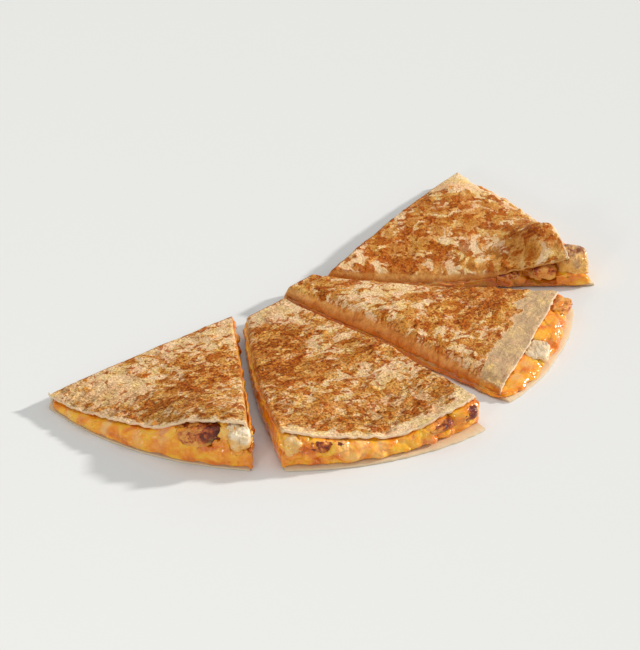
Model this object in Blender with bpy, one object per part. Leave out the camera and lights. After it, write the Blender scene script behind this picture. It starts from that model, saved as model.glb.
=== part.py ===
"""A chicken and cheese quesadilla: one flour tortilla folded over its filling and cut into four wedges.

The tortilla is a half disc in plan, with its fold along X and its open arc towards -Y. Three cuts run
from the fold to the arc, and each wedge is then slid and turned a little away from its neighbours.
Every wedge holds a folded sheet of tortilla, the melted cheese inside it, and the pieces of chicken
that show at its open sides.
"""

import math

import bmesh
import bpy
from mathutils import Vector, noise

mm = 0.001

# Driving dimensions
tortilla_radius = 127 * mm      # a 10-inch tortilla
sheet = 1.7 * mm                # its thickness
gap = 0.3 * mm                  # between pieces that touch
fold_squash = 0.5               # depth of the fold's round, as a share of half its height
tip_share = 0.032               # how much of an end wedge's pointed tip is rounded off
least_height = 5.0 * mm         # two sheets with hardly any cheese between them
filling_tip_share = 0.05        # the cheese stops this far short of a pointed tip
side_bulge = 0.9 * mm           # melted cheese stands proud of a cut by this much
side_thinning = 0.18            # how much lower the cheese is there
side_shortening = 0.985         # and how much shorter
tip_tuck = 0.45 * mm            # the cheese draws back by this much at a pointed tip
press_width = 5.0 * mm          # how far in from a cut the knife pressed the upper sheet down
pocket_gap = 0.7 * mm           # room round a piece of chicken in the cheese
under_sheet = 0.5 * mm          # least room between a piece of chicken and the upper sheet
rim = 2.4 * mm                  # bare lower sheet in front of the cheese
rim_ripple = 0.8                # how much that varies along the arc, in millimetres
least_front = 1.0 * mm          # the cheese comes out at least this far past the upper sheet
foot = 0.8 * mm                 # thickness of the cheese at the foot of its open face
face_swell = 0.12               # how much that face bulges and dips, as a share of its height
lip_ripple = 0.5                # how ragged the upper sheet's edge is, in millimetres
least_inset = 0.2 * mm
hollow_growth = 0.01 * mm       # keeps a hollow's faces off the pockets next to it
chunk_roughness = 0.16          # how uneven a piece of chicken is, as a share of its size
chunk_squareness = 4            # 2 would make it an ellipsoid, more makes it boxier
bump_fade = 0.25                # bumps and presses fade in over this share of the way from the fold

# How close together the unevenness comes, in waves from one side of a wedge or piece to the other
lip_waves = 7.0
rim_waves = 9.0
face_waves = 14.0
face_waves_down = 0.9
chunk_waves = 1.3

# Mesh resolution
stations = 11                   # sections across a wedge
turn_points = 5                 # points round the fold
top_points = 8                  # points from the fold to the arc
front_points = 4                # points down the cheese's open face
chunk_cuts = 3                  # cuts along each edge of the cube that a piece of chicken starts as
locate_steps = 30               # halvings when a point is looked up in a wedge
locate_range = (-0.15, 1.15)    # the shares between which it is looked for, a little past both sides
sharp_edge = math.radians(35)   # edges sharper than this are shaded as edges

# Where each cut leaves the fold, and the direction it takes from there
first_cut = {"start": -27.8 * mm, "angle": math.radians(121.5)}
second_cut = {"start": -6.5 * mm, "angle": math.radians(87.5)}
third_cut = {"start": 10.8 * mm, "angle": math.radians(56.6)}

# Heights are the upper surface in millimetres: rows from the fold to the arc, columns from the left
# side to the right. A trim is how far the arc falls short of a true circle, because a tortilla isn't
# quite round. An inset is how far the upper sheet stops short of the lower one along the arc.
# A bump is (across, out, height, radius), its place given as shares of the wedge. A press is how far
# the knife squeezed the left and the right side down.
wedges = [
    {
        "name": "wedge_1",
        "left": None,
        "right": first_cut,
        "turn": math.radians(-9.2),
        "shift": (-8.7 * mm, 1.0 * mm),
        "heights": ((5.6, 8.6, 10.4), (5.6, 10.6, 14.0), (5.2, 9.6, 19.4)),
        "trims": (0.0, 0.0, 0.0),
        "insets": (0.4, 6.0, 6.5),
        "bow": (0.0, 0.4),
        "press": (0.0, 0.6),
        "bumps": ((0.82, 0.90, 4.6, 20.0), (0.60, 1.0, -2.0, 7.5)),
        "chunks": (
            {"name": "charred", "place": (0.800, 6.6, 13.2), "size": (19.5, 13.0, 9.6), "yaw": 0.0},
            {"name": "torn", "place": (0.958, 6.2, 13.4), "size": (8.6, 12.0, 9.8), "yaw": 8.0},
        ),
        "hollows": (),
    },
    {
        "name": "wedge_2",
        "left": first_cut,
        "right": second_cut,
        "turn": math.radians(-4.9),
        "shift": (-4.7 * mm, -2.6 * mm),
        "heights": ((11.0, 11.0, 10.8), (14.0, 15.0, 16.0), (17.6, 11.4, 16.2)),
        "trims": (0.0, 0.0, 0.0),
        "insets": (6.0, 5.6, 6.0),
        "bow": (3.6, 0.6),
        "press": (0.8, 0.6),
        "bumps": ((0.90, 0.52, 2.2, 11.0), (0.30, 0.75, 1.0, 14.0), (0.55, 1.0, -2.4, 15.0)),
        "chunks": (
            {"name": "corner", "place": (0.045, 5.2, 9.6), "size": (7.0, 8.0, 8.0), "yaw": 5.0},
            {"name": "charred", "place": (0.215, 8.2, 9.8), "size": (18.0, 12.0, 6.8), "yaw": -6.0},
            {"name": "brown", "place": (0.762, 7.4, 9.2), "size": (14.0, 12.0, 6.0), "yaw": 5.0},
            {"name": "seared", "place": (0.935, 6.6, 9.2), "size": (8.0, 10.0, 6.4), "yaw": 0.0},
        ),
        "hollows": (),
    },
    {
        "name": "wedge_3",
        "left": second_cut,
        "right": third_cut,
        "turn": math.radians(2.3),
        "shift": (2.7 * mm, 4.6 * mm),
        "heights": ((9.6, 10.4, 9.8), (10.6, 12.0, 9.0), (5.2, 9.4, 11.6)),
        "trims": (0.0, 0.0, 0.0),
        "insets": (5.0, 11.5, 7.0),
        "bow": (0.2, 0.6),
        "press": (2.6, 1.0),
        "bumps": ((0.30, 0.45, 1.6, 16.0), (0.85, 0.72, 1.4, 12.0)),
        "chunks": (
            {"name": "torn", "place": (0.43, 7.4, 5.7), "size": (13.0, 10.0, 5.6), "yaw": 12.0},
            {"name": "charred", "place": (0.90, 7.2, 6.8), "size": (12.5, 11.0, 7.2), "yaw": -5.0},
        ),
        "hollows": (),
    },
    {
        "name": "wedge_4",
        "left": third_cut,
        "right": None,
        "turn": math.radians(11.6),
        "shift": (9.9 * mm, -0.9 * mm),
        "heights": ((9.4, 10.4, 6.2), (7.4, 11.2, 6.0), (16.6, 8.6, 5.4)),
        "trims": (-2.2, 7.6, 0.0),
        "insets": (12.0, 2.4, 0.6),
        "bow": (0.4, 0.0),
        "press": (1.6, 0.0),
        "bumps": ((0.20, 0.93, 7.4, 12.5), (0.50, 0.30, 1.0, 20.0)),
        "chunks": (
            {"name": "end", "place": (0.070, 7.4, 8.4), "size": (15.5, 13.0, 11.4), "yaw": 10.0},
            {"name": "side", "place": (0.016, 22.5, 6.9), "size": (7.6, 11.0, 6.6), "yaw": 0.0},
            {"name": "red", "place": (0.016, 39.0, 5.2), "size": (6.5, 12.0, 3.6), "yaw": 4.0},
        ),
        "hollows": ({"place": (0.0, 30.6, 6.6), "size": (7.0, 7.0, 5.6), "yaw": 0.0},),
    },
]

# Colours are linear RGB
finishes = {
    "tortilla": {"colour": (0.78, 0.53, 0.27), "roughness": 0.62},
    "cheese": {"colour": (0.86, 0.37, 0.06), "roughness": 0.30},
    "pale_chicken": {"colour": (0.80, 0.68, 0.52), "roughness": 0.45},
    "charred_chicken": {"colour": (0.22, 0.06, 0.03), "roughness": 0.50},
}
pale_chunks = ("torn", "corner", "end")


def clear_scene():
    for thing in list(bpy.data.objects):
        bpy.data.objects.remove(thing, do_unlink=True)


def make_finishes():
    made = {}
    for name, look in finishes.items():
        finish = bpy.data.materials.new(name)
        finish.use_nodes = True
        shader = finish.node_tree.nodes["Principled BSDF"]
        shader.inputs["Base Color"].default_value = (*look["colour"], 1.0)
        shader.inputs["Roughness"].default_value = look["roughness"]
        shader.inputs["Metallic"].default_value = 0.0
        finish.diffuse_color = (*look["colour"], 1.0)
        made[name] = finish
    return made


def mix(low, high, share):
    return low + (high - low) * share


def through(three, share):
    """The smooth curve through three values, spaced evenly from 0 to 1."""
    first, middle, last = three
    return (
        first * (1 - share) * (1 - 2 * share)
        + middle * 4 * share * (1 - share)
        + last * share * (2 * share - 1)
    )


def cut_end_angle(cut):
    """The angle, about the middle of the fold, at which a cut meets the arc."""
    along = Vector((math.cos(cut["angle"]), -math.sin(cut["angle"])))
    start = Vector((cut["start"], 0.0))
    half = start.dot(along)
    reach = -half + math.sqrt(half * half - start.dot(start) + tortilla_radius**2)
    end = start + along * reach
    return math.atan2(end.y, end.x)


def spread(count, low, high):
    """Shares from low to high that crowd towards both ends, where the sides curve most."""
    return [mix(low, high, 0.5 - 0.5 * math.cos(math.pi * k / (count - 1))) for k in range(count)]


class Wedge:
    """Where everything in one wedge lies, before the wedge is slid and turned."""

    def __init__(self, plan):
        self.plan = plan
        left, right = plan["left"], plan["right"]
        self.fold_ends = (
            left["start"] if left else -tortilla_radius,
            right["start"] if right else tortilla_radius,
        )
        self.arc_ends = (
            cut_end_angle(left) if left else -math.pi,
            cut_end_angle(right) if right else 0.0,
        )
        self.shares = spread(stations, 0.0 if left else tip_share, 1.0 if right else 1.0 - tip_share)

    def fold_point(self, across):
        return Vector((mix(*self.fold_ends, across), 0.0))

    def arc_point(self, across):
        angle = mix(*self.arc_ends, across)
        return Vector((math.cos(angle), math.sin(angle))) * tortilla_radius

    def section(self, across):
        """Start, direction, length and steepness of the line from the fold to the arc."""
        start = self.fold_point(across)
        line = self.arc_point(across) - start
        direction = line.normalized()
        length = line.length - through(self.plan["trims"], across) * mm
        return start, direction, length, -direction.y

    def fold_radius(self, across):
        """Half the height of the fold."""
        return through(self.plan["heights"][0], across) * mm / 2

    def fold_depth(self, across):
        return max(self.fold_radius(across) * fold_squash, sheet + gap)

    def turn_reach(self, across):
        """How far along its section the round of the fold ends."""
        steepness = self.section(across)[3]
        return self.fold_depth(across) / steepness

    def top_reach(self, across):
        """How far along its section the upper sheet ends."""
        ripple = lip_ripple * noise.noise(Vector((across * lip_waves, self.arc_ends[0] * 3.0, 0.3)))
        inset = (through(self.plan["insets"], across) + ripple) * mm
        return self.section(across)[2] - max(inset, least_inset)

    def side_distance(self, spot, cut):
        away = spot - Vector((cut["start"], 0.0))
        along = Vector((math.cos(cut["angle"]), -math.sin(cut["angle"])))
        return abs(away.x * along.y - away.y * along.x)

    def height(self, across, out):
        """The upper surface, out from the fold's round (0) to the upper sheet's edge (1)."""
        rows = [through(row, across) for row in self.plan["heights"]]
        level = through(rows, out) * mm
        start, direction, _, _ = self.section(across)
        reach = mix(self.turn_reach(across), self.top_reach(across), out)
        spot = start + direction * reach
        fade = min(1.0, out / bump_fade)
        for bump_across, bump_out, bump_height, radius in self.plan["bumps"]:
            ends = (self.turn_reach(bump_across), self.top_reach(bump_across))
            middle = self.spot(bump_across, mix(*ends, bump_out))
            share = (spot - middle).length / (radius * mm)
            level += bump_height * mm * math.exp(-share * share) * fade
        for cut, press in zip((self.plan["left"], self.plan["right"]), self.plan["press"]):
            if cut:
                share = self.side_distance(spot, cut) / press_width
                level -= press * mm * math.exp(-share * share) * fade
        return max(level, least_height)

    def spot(self, across, reach):
        """The point this far along a section, with the wedge's bowed sides."""
        start, direction, length, _ = self.section(across)
        sideways = Vector((direction.y, -direction.x))
        left_bow, right_bow = self.plan["bow"]
        along = min(max(reach / length, 0.0), 1.0)
        bow = mix(left_bow, -right_bow, across) * mm * math.sin(math.pi * along)
        return start + direction * reach + sideways * bow

    def locate(self, spot):
        """Which section a point lies on, and how far along it."""
        low, high = locate_range
        for _ in range(locate_steps):
            across = (low + high) / 2
            start, direction, _, _ = self.section(across)
            away = spot - start
            if direction.x * away.y - direction.y * away.x > 0:
                low = across
            else:
                high = across
        return across, away.dot(direction)

    def ceiling(self, spot):
        """The underside of the upper sheet's facets over a point, or at the sheet's edge beyond it."""
        across, reach = self.locate(spot)
        across = min(max(across, self.shares[0]), self.shares[-1])
        near, far = self.turn_reach(across), self.top_reach(across)
        out = min(max((reach - near) / (far - near), 0.0), 1.0)
        column = min(sum(share <= across for share in self.shares), stations - 1)
        row = min(math.floor(out * top_points) + 1, top_points)
        left, right = self.shares[column - 1], self.shares[column]
        lines = [
            mix(self.height(side, (row - 1) / top_points), self.height(side, row / top_points),
                out * top_points - row + 1)
            for side in (left, right)
        ]
        return mix(*lines, (across - left) / (right - left)) - sheet


def lay_points(mesh, wedge, across, profile):
    """One section's points, from (reach, height) pairs."""
    return [mesh.verts.new((*wedge.spot(across, reach), level)) for reach, level in profile]


def skin(mesh, first, second, closed):
    """Two triangles between each pair of neighbouring points of two sections."""
    count = len(first) if closed else len(first) - 1
    for k in range(count):
        after = (k + 1) % len(first)
        mesh.faces.new((first[k], first[after], second[after]))
        mesh.faces.new((first[k], second[after], second[k]))


def cap(mesh, ring):
    """Closes the end of a run of sections, whose two long lines face each other."""
    half = len(ring) // 2
    skin(mesh, ring[:half], ring[half:][::-1], closed=False)


def finish_object(name, mesh, finish, parent):
    mesh.normal_update()
    bmesh.ops.recalc_face_normals(mesh, faces=mesh.faces)
    data = bpy.data.meshes.new(name)
    mesh.to_mesh(data)
    mesh.free()
    data.materials.append(finish)
    data.shade_smooth()
    data.set_sharp_from_angle(angle=sharp_edge)
    made = bpy.data.objects.new(name, data)
    bpy.context.collection.objects.link(made)
    made.parent = parent
    return made


def sheet_profile(wedge, across):
    """The folded sheet's outer line from the lower edge round the fold, and its inner line beside it."""
    _, _, length, steepness = wedge.section(across)
    radius, depth = wedge.fold_radius(across), wedge.fold_depth(across)
    near, far = wedge.turn_reach(across), wedge.top_reach(across)
    outer = [(length, 0.0), (mix(near, length, 0.5), 0.0)]
    inner = [(length, sheet), (mix(near, length, 0.5), sheet)]
    for k in range(turn_points + 1):
        angle = math.pi * (k / turn_points - 0.5)
        for line, inward in ((outer, 0.0), (inner, sheet)):
            back = (depth - inward) * math.cos(angle)
            line.append(((depth - back) / steepness, radius + (radius - inward) * math.sin(angle)))
    for k in range(1, top_points + 1):
        out = k / top_points
        level = wedge.height(across, out)
        outer.append((mix(near, far, out), level))
        inner.append((mix(near, far, out), level - sheet))
    return outer, inner


def make_tortilla(wedge, finish, parent):
    mesh = bmesh.new()
    rings = []
    for across in wedge.shares:
        outer, inner = sheet_profile(wedge, across)
        rings.append(lay_points(mesh, wedge, across, outer + inner[::-1]))
    for first, second in zip(rings, rings[1:]):
        skin(mesh, first, second, closed=True)
    cap(mesh, rings[0])
    cap(mesh, rings[-1])
    return finish_object("tortilla_" + parent.name, mesh, finish, parent)


def noise_seed(wedge):
    """A different stretch of the noise for each wedge."""
    return wedge.fold_ends[1] / (7 * mm)


def cheese_profile(wedge, across):
    """The cheese's upper line, out under the upper sheet and down the open front, and its floor."""
    _, _, length, _ = wedge.section(across)
    near, far = wedge.turn_reach(across), wedge.top_reach(across)
    floor = sheet + gap
    lump = rim_ripple * noise.noise(Vector((across * rim_waves, noise_seed(wedge), 1.7)))
    front = max(length - rim + lump * mm, far + least_front)
    upper = []
    for k in range(top_points + 1):
        out = k / top_points
        upper.append((mix(near, far, out), wedge.height(across, out) - sheet - gap))
    edge_level = upper[-1][1]
    for k in range(1, front_points + 1):
        angle = math.pi / 2 * k / front_points
        place = Vector((across * face_waves, k * face_waves_down, noise_seed(wedge)))
        swell = face_swell * noise.noise(place)
        share = min(max(math.cos(angle) + swell * math.sin(2 * angle), 0.0), 1.0)
        upper.append((mix(far, front, math.sin(angle)), mix(floor + foot, edge_level, share)))
    lower = [(reach, floor) for reach, _ in upper]
    return upper, lower


def lay_cheese_ring(mesh, wedge, across):
    upper, lower = cheese_profile(wedge, across)
    return lay_points(mesh, wedge, across, lower + upper[::-1])


def lay_side_ring(mesh, wedge, across, outward):
    """The cheese's face at a cut: a thinner outline that stands a little proud of the cut."""
    _, direction, _, _ = wedge.section(across)
    sideways = Vector((direction.y, -direction.x, 0.0)) * outward
    upper, lower = cheese_profile(wedge, across)
    centre = (upper[0][0] + upper[-1][0]) / 2
    ring = []
    for line, other in ((lower, upper), (upper, lower)):
        points = []
        for (reach, level), (_, facing) in zip(line, other):
            spot = wedge.spot(across, mix(centre, reach, side_shortening))
            points.append(mesh.verts.new(Vector((*spot, mix(level, facing, side_thinning))) + sideways))
        ring.append(points)
    return ring[0] + ring[1][::-1]


def make_cheese(wedge, finish, parent):
    left, right = wedge.plan["left"], wedge.plan["right"]
    low = 0.0 if left else filling_tip_share
    high = 1.0 if right else 1.0 - filling_tip_share
    shares = [share for share in wedge.shares if low <= share <= high]
    whole_rings = shares[0 if left else 1:len(shares) if right else -1]
    mesh = bmesh.new()
    rings = [lay_side_ring(mesh, wedge, shares[0], side_bulge if left else -tip_tuck)]
    rings += [lay_cheese_ring(mesh, wedge, across) for across in whole_rings]
    rings.append(lay_side_ring(mesh, wedge, shares[-1], -side_bulge if right else tip_tuck))
    for first, second in zip(rings, rings[1:]):
        skin(mesh, first, second, closed=True)
    cap(mesh, rings[0])
    cap(mesh, rings[-1])
    return finish_object("cheese_" + parent.name, mesh, finish, parent)


def make_chunk(name, wedge, shape, swell, finish, parent):
    """A rough lump with rounded corners. Swollen, it is the cutter for its own pocket in the cheese."""
    across, inward, level = shape["place"]
    start, direction, length, _ = wedge.section(across)
    middle = wedge.spot(across, length - inward * mm)
    yaw = math.radians(shape["yaw"])
    out_axis = Vector((
        direction.x * math.cos(yaw) - direction.y * math.sin(yaw),
        direction.x * math.sin(yaw) + direction.y * math.cos(yaw),
    ))
    side_axis = Vector((-out_axis.y, out_axis.x))
    mesh = bmesh.new()
    bmesh.ops.create_cube(mesh, size=2.0)
    bmesh.ops.subdivide_edges(mesh, edges=mesh.edges, cuts=chunk_cuts, use_grid_fill=True)
    wide, deep, tall = (0.5 * extent * mm for extent in shape["size"])
    seed = Vector((across * 31.0, inward, level))
    for corner in mesh.verts:
        squared = sum(abs(part) ** chunk_squareness for part in corner.co) ** (1 / chunk_squareness)
        unit = corner.co / squared
        rough = 1 + chunk_roughness * noise.noise(unit * chunk_waves + seed)
        grown = unit * rough
        grown.x *= wide + swell
        grown.y *= deep + swell
        grown.z *= tall + swell
        spot = middle + side_axis * grown.x + out_axis * grown.y
        height = level * mm + grown.z
        if swell == 0:
            height = min(height, wedge.ceiling(spot) - under_sheet)
            height = max(height, sheet + gap)
        corner.co = Vector((*spot, height))
    return finish_object(name, mesh, finish, parent)


def cut_pocket(cheese, cutter):
    cutter.hide_render = True
    cutter.display_type = "WIRE"
    pocket = cheese.modifiers.new("pocket_" + cutter.name, "BOOLEAN")
    pocket.operation = "DIFFERENCE"
    pocket.solver = "EXACT"
    pocket.object = cutter


def make_wedge(plan, finish, whole):
    wedge = Wedge(plan)
    parent = bpy.data.objects.new(plan["name"], None)
    bpy.context.collection.objects.link(parent)
    parent.parent = whole
    parent.location = (*plan["shift"], 0.0)
    parent.rotation_euler = (0.0, 0.0, plan["turn"])
    cheese = make_cheese(wedge, finish["cheese"], parent)
    pieces = [make_tortilla(wedge, finish["tortilla"], parent), cheese]
    for shape in plan["chunks"]:
        look = "pale_chicken" if shape["name"] in pale_chunks else "charred_chicken"
        name = "chicken_" + parent.name + "_" + shape["name"]
        pieces.append(make_chunk(name, wedge, shape, 0.0, finish[look], parent))
        cutter = make_chunk("cutter_" + name, wedge, shape, pocket_gap, finish[look], parent)
        cut_pocket(cheese, cutter)
    for number, shape in enumerate(plan["hollows"]):
        name = "cutter_hollow_" + parent.name + "_" + str(number)
        cut_pocket(cheese, make_chunk(name, wedge, shape, hollow_growth, finish["cheese"], parent))
    return pieces


def centre_whole(whole, pieces):
    """Puts the middle of the quesadilla's outline over the origin."""
    bpy.context.view_layer.update()
    spots = [piece.matrix_world @ corner.co for piece in pieces for corner in piece.data.vertices]
    low = [min(spot[axis] for spot in spots) for axis in range(2)]
    high = [max(spot[axis] for spot in spots) for axis in range(2)]
    whole.location = (-(low[0] + high[0]) / 2, -(low[1] + high[1]) / 2, 0.0)
    bpy.context.view_layer.update()


def main():
    clear_scene()
    finish = make_finishes()
    whole = bpy.data.objects.new("quesadilla", None)
    bpy.context.collection.objects.link(whole)
    pieces = [piece for plan in wedges for piece in make_wedge(plan, finish, whole)]
    centre_whole(whole, pieces)


main()
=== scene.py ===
import math
import random
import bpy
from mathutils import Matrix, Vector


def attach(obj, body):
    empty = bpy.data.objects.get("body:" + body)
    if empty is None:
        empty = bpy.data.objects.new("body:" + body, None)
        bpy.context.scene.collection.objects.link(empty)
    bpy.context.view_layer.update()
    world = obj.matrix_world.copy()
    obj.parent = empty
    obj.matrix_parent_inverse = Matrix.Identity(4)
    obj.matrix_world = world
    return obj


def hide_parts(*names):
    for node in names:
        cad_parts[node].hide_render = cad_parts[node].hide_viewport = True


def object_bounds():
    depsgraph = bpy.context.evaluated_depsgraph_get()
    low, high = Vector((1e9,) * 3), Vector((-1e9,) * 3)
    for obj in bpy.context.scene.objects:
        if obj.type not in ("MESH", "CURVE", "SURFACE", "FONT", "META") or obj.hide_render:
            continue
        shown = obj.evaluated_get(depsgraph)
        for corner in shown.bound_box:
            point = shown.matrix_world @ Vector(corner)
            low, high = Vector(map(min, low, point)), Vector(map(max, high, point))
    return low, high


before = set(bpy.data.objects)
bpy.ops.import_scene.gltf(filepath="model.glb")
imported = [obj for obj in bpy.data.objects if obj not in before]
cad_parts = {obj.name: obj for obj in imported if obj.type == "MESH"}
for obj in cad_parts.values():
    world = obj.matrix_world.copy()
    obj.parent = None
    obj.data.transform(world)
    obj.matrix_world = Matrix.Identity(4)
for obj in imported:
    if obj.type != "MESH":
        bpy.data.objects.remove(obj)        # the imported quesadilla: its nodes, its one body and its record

from types import SimpleNamespace

import bpy
import numpy as np
from mathutils import Vector, noise
from mathutils.bvhtree import BVHTree
from mathutils.kdtree import KDTree

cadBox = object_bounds()
mm = 0.001

# one folded sheet, cut into four wedges along the same lines as the solid model
tortilla = {
    "radius": 127 * mm,
    "thickness": 1.7 * mm,
    "centre": (0.7338 * mm, 52.6195 * mm),  # brings the middle of the whole to the origin
    "foldSquash": 0.5,       # depth of the fold's round, as a share of half its height
    "foldLeast": 2.0 * mm,
    "leastHeight": 5.0 * mm,
    "columns": 156,
    "edgeDensity": 0.62,      # how much closer together the columns are by the cuts
    "bottomRows": 40,
    "turnRows": 16,
    "topRows": 190,
    "rimThickness": 0.62,    # share of the thickness left at the arc
    "rimWidth": 5.0 * mm,
    "roundRim": 0.42 * mm,
    "cutShare": 0.004,        # a face this near to a side, as a share of the width, is part of the cut
    "bevelAngle": math.radians(58),
    "crimpWidth": 1.5 * mm,   # how far in from a cut the upper sheet turns down
    "crimpDepth": 1.05 * mm,
    "rollWaves": 70.0,        # waves for each metre along the rounded border
    "pressReach": 5.0 * mm,   # how far in from a cut the knife pressed the wedge down
    "tipShare": 0.032,        # share of an outer wedge that the round of its tip takes up
}
firstCut = {"start": -27.8 * mm, "angle": math.radians(121.5)}
secondCut = {"start": -6.5 * mm, "angle": math.radians(87.5)}
thirdCut = {"start": 10.8 * mm, "angle": math.radians(56.6)}

# Sizes are millimetres and turns degrees. Three values run from the left cut to the right one, or
# from the fold to the arc, and two are for the left and the right cut. The heights have a row at
# the fold, one halfway out and one at the arc. A bump is (across, out, height, radius), and a spot
# of toast is (across, out, strength, radius).
#   trims, insets      how far the lower sheet ends short of the arc, and the upper short of the lower
#   bow, press         how far a cut bulges, and how far the knife pressed the wedge down by it
#   rolls, rollDrop    width of the rounded border by a cut, and the share of its height that it loses
#   lap, chickenLap    how far the cheese runs out over the lower sheet, and over the chicken
#   soak, sink         how far the filling soaks through by the cuts, and an open end's fall
#   patches, paleBand  how closely the toasted patches lie, and how wide the pale band at the arc is
#   crisp, sideShadeAndBrowning  how speckled the toast is, and how brown the cheese on the cut sides is, with
#   painted shade darkening it there too
#   lowerRim           share of the lower sheet's thickness left at the arc
#   chickenShows       how far the cheese draws back from the chicken
wedges = {
    "wedge_1": {
        "left": None, "right": firstCut, "turn": -9.2, "shift": (-8.7, 1.0),
        "heights": ((5.6, 8.6, 10.4), (5.6, 10.6, 14.0), (5.2, 9.6, 19.4)),
        "trims": (0.0, 0.0, 0.0), "insets": (0.4, 6.0, 6.5), "bow": (0.0, 0.4), "press": (0.0, 0.6),
        "bumps": ((0.82, 0.90, 4.6, 20.0), (0.60, 1.0, -2.0, 7.5)),
        "rolls": ((0.0, 0.0, 0.0), (0.5, 0.8, 1.8)), "rollDrop": 0.16,
        "lap": (2.6, 3.4, 2.8), "chickenLap": 0.8, "lowerRim": 0.35,
        "crisp": 1.0, "soak": 0.5, "toasted": 0.0, "sink": 0.0, "sideShadeAndBrowning": 0.45,
        "patches": 1.0, "chickenShows": 0.0, "paleBand": (3.0, 1.6, 2.4),
        "toast": ((0.85, 0.42, 0.14, 20), (0.72, 0.64, 0.10, 16), (0.45, 0.86, 0.06, 14),
                  (0.95, 0.12, -0.12, 14), (0.42, 0.50, -0.18, 18), (0.80, 0.82, 0.02, 16),
                  (0.15, 0.60, -0.08, 16)),
        "wrinkle": 1.1, "bandShade": 0.0,
    },
    "wedge_2": {
        "left": firstCut, "right": secondCut, "turn": -4.9, "shift": (-4.7, -2.6),
        "heights": ((11.0, 11.0, 10.8), (14.0, 15.0, 16.0), (17.6, 11.4, 16.2)),
        "trims": (0.0, 0.0, 0.0), "insets": (6.0, 5.6, 6.0), "bow": (3.6, 0.6), "press": (0.8, 0.6),
        "bumps": ((0.90, 0.52, 2.2, 11.0), (0.30, 0.75, 1.0, 14.0), (0.55, 1.0, -2.4, 15.0)),
        "rolls": ((1.9, 1.2, 0.8), (1.0, 1.4, 1.0)), "rollDrop": 0.12,
        "lap": (0.4, -0.2, -2.4), "chickenLap": 0.5, "lowerRim": 0.55,
        "crisp": 1.0, "soak": 0.35, "toasted": 0.02, "sink": 0.0, "sideShadeAndBrowning": 0.25,
        "patches": 0.95, "chickenShows": 0.0, "paleBand": (3.6, 4.4, 7.0),
        "toast": ((0.30, 0.30, 0.20, 18), (0.20, 0.52, 0.14, 16), (0.85, 0.48, 0.12, 13),
                  (0.60, 0.04, -0.22, 13), (0.62, 0.36, -0.16, 12), (0.80, 0.70, -0.10, 12),
                  (0.45, 0.82, 0.04, 20)),
        "wrinkle": 1.25, "bandShade": 0.0,
    },
    "wedge_3": {
        "left": secondCut, "right": thirdCut, "turn": 2.3, "shift": (2.7, 4.6),
        "heights": ((9.6, 10.4, 9.8), (10.6, 12.0, 9.0), (5.2, 9.4, 11.6)),
        "trims": (0.0, 0.0, 0.0), "insets": (5.0, 11.5, 7.0), "bow": (0.2, 0.6), "press": (2.6, 1.0),
        "bumps": ((0.30, 0.45, 1.6, 16.0), (0.85, 0.72, 1.4, 12.0)),
        "rolls": ((2.2, 5.2, 2.0), (1.0, 1.4, 1.0)), "rollDrop": 0.34,
        "lap": (0.2, -1.0, -2.6), "chickenLap": 0.5, "lowerRim": 0.50,
        "crisp": 0.85, "soak": 1.0, "toasted": 0.05, "sink": 0.0, "sideShadeAndBrowning": 0.85,
        "patches": 0.80, "chickenShows": 0.60, "paleBand": (13.5, 13.0, 12.0),
        "toast": ((0.50, 0.30, -0.14, 16), (0.75, 0.70, 0.10, 20), (0.45, 0.62, 0.02, 14),
                  (0.40, 0.12, 0.08, 12)),
        "wrinkle": 0.7, "bandShade": 0.76,
    },
    "wedge_4": {
        "left": thirdCut, "right": None, "turn": 11.6, "shift": (9.9, -0.9),
        "heights": ((9.4, 10.4, 6.2), (7.4, 11.2, 6.0), (16.6, 8.6, 5.4)),
        "trims": (-2.2, 7.6, 0.0), "insets": (12.0, 2.4, 0.6), "bow": (0.4, 0.0), "press": (1.6, 0.0),
        "bumps": ((0.20, 0.93, 7.4, 12.5), (0.50, 0.30, 1.0, 20.0)),
        "rolls": ((2.6, 3.2, -3.6), (0.0, 0.0, 0.0)), "rollDrop": 0.32,
        "lap": (-1.0, 0.6, 0.6), "chickenLap": 0.0, "lowerRim": 0.50,
        "crisp": 0.35, "soak": 0.9, "toasted": 0.03, "sink": 0.5, "sideShadeAndBrowning": 0.60,
        "patches": 0.62, "chickenShows": 0.0, "paleBand": (1.6, 2.0, 10.0),
        "toast": ((0.20, 0.30, 0.14, 22), (0.20, 0.90, 0.15, 15), (0.15, 0.55, -0.04, 18),
                  (0.55, 0.75, 0.03, 22), (0.60, 0.35, 0.10, 18), (0.97, 0.50, -0.40, 24)),
        "wrinkle": 0.5, "bandShade": 0.0,
    },
}


def mix(low, high, share):
    return low + (high - low) * share


def through(three, share):
    # the smooth curve through three values at 0, a half and 1
    first, middle, last = three
    return (first * (1 - share) * (1 - 2 * share) + middle * 4 * share * (1 - share)
            + last * share * (2 * share - 1))


def ease(value, low, high):
    share = np.clip((value - low) / (high - low), 0.0, 1.0)
    return share * share * (3 - 2 * share)


def noiseAt(x, y, z, seed):
    # Blender's own smooth noise at many places, about -1 to 1
    spots = np.broadcast_arrays(x, y, z)
    flat = np.stack([part.ravel() for part in spots], 1) + np.array([seed, seed * 0.37, seed * 1.91])
    return np.array([noise.noise(spot) for spot in flat.tolist()]).reshape(spots[0].shape)


def cutEndAngle(cut):
    # where a cut meets the arc, as an angle about the middle of the fold
    along = (math.cos(cut["angle"]), -math.sin(cut["angle"]))
    half = cut["start"] * along[0]
    reach = -half + math.sqrt(half * half - cut["start"] ** 2 + tortilla["radius"] ** 2)
    return math.atan2(along[1] * reach, cut["start"] + along[0] * reach)


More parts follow.
